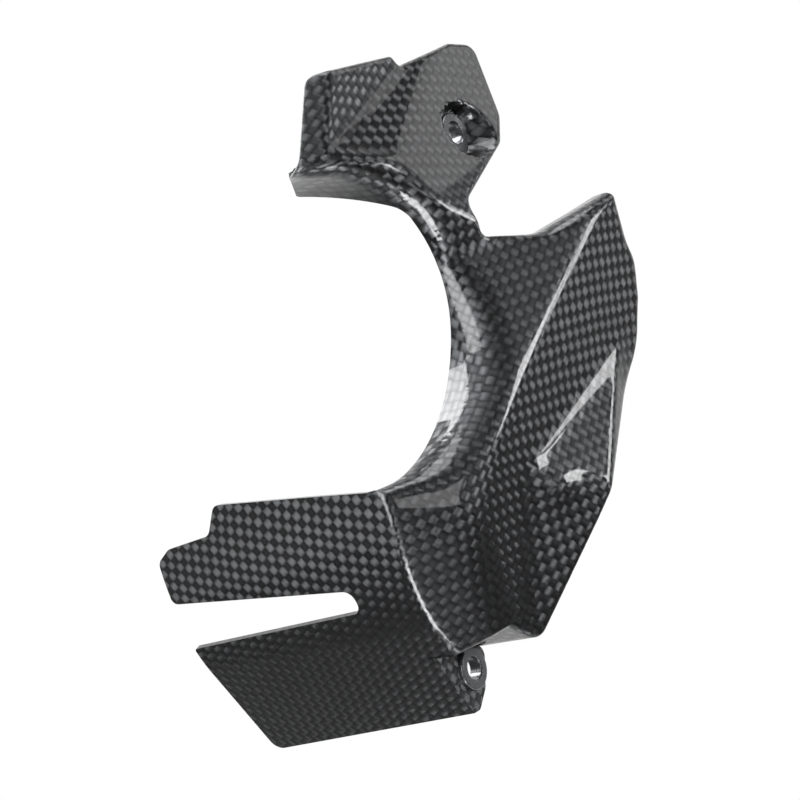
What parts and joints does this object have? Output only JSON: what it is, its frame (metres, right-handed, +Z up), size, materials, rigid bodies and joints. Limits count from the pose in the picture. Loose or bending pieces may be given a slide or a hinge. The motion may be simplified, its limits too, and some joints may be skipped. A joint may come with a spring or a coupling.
{
  "type": "motorbike sprocket cover",
  "caption": "Thin C-shaped carbon cover for a motorbike's front sprocket: creased outer blade, arch opening, bolt seats with metal bushes and a slotted inboard guard.",
  "frame": {"origin": "centre of the upper bolt hole on the outer face of its seat", "axes": "-Y along the bolt axes, outboard from the motorbike; +Z up; +X rearward"},
  "size_m": [0.1049, 0.1282, 0.1896],
  "materials": {
    "carbon": "gloss",
    "bush_metal": "satin"
  },
  "bodies": {
    "root": {"cover_shell": "carbon", "upper_bolt_bush": "bush_metal", "lower_bolt_bush": "bush_metal"}
  },
  "joints": []
}
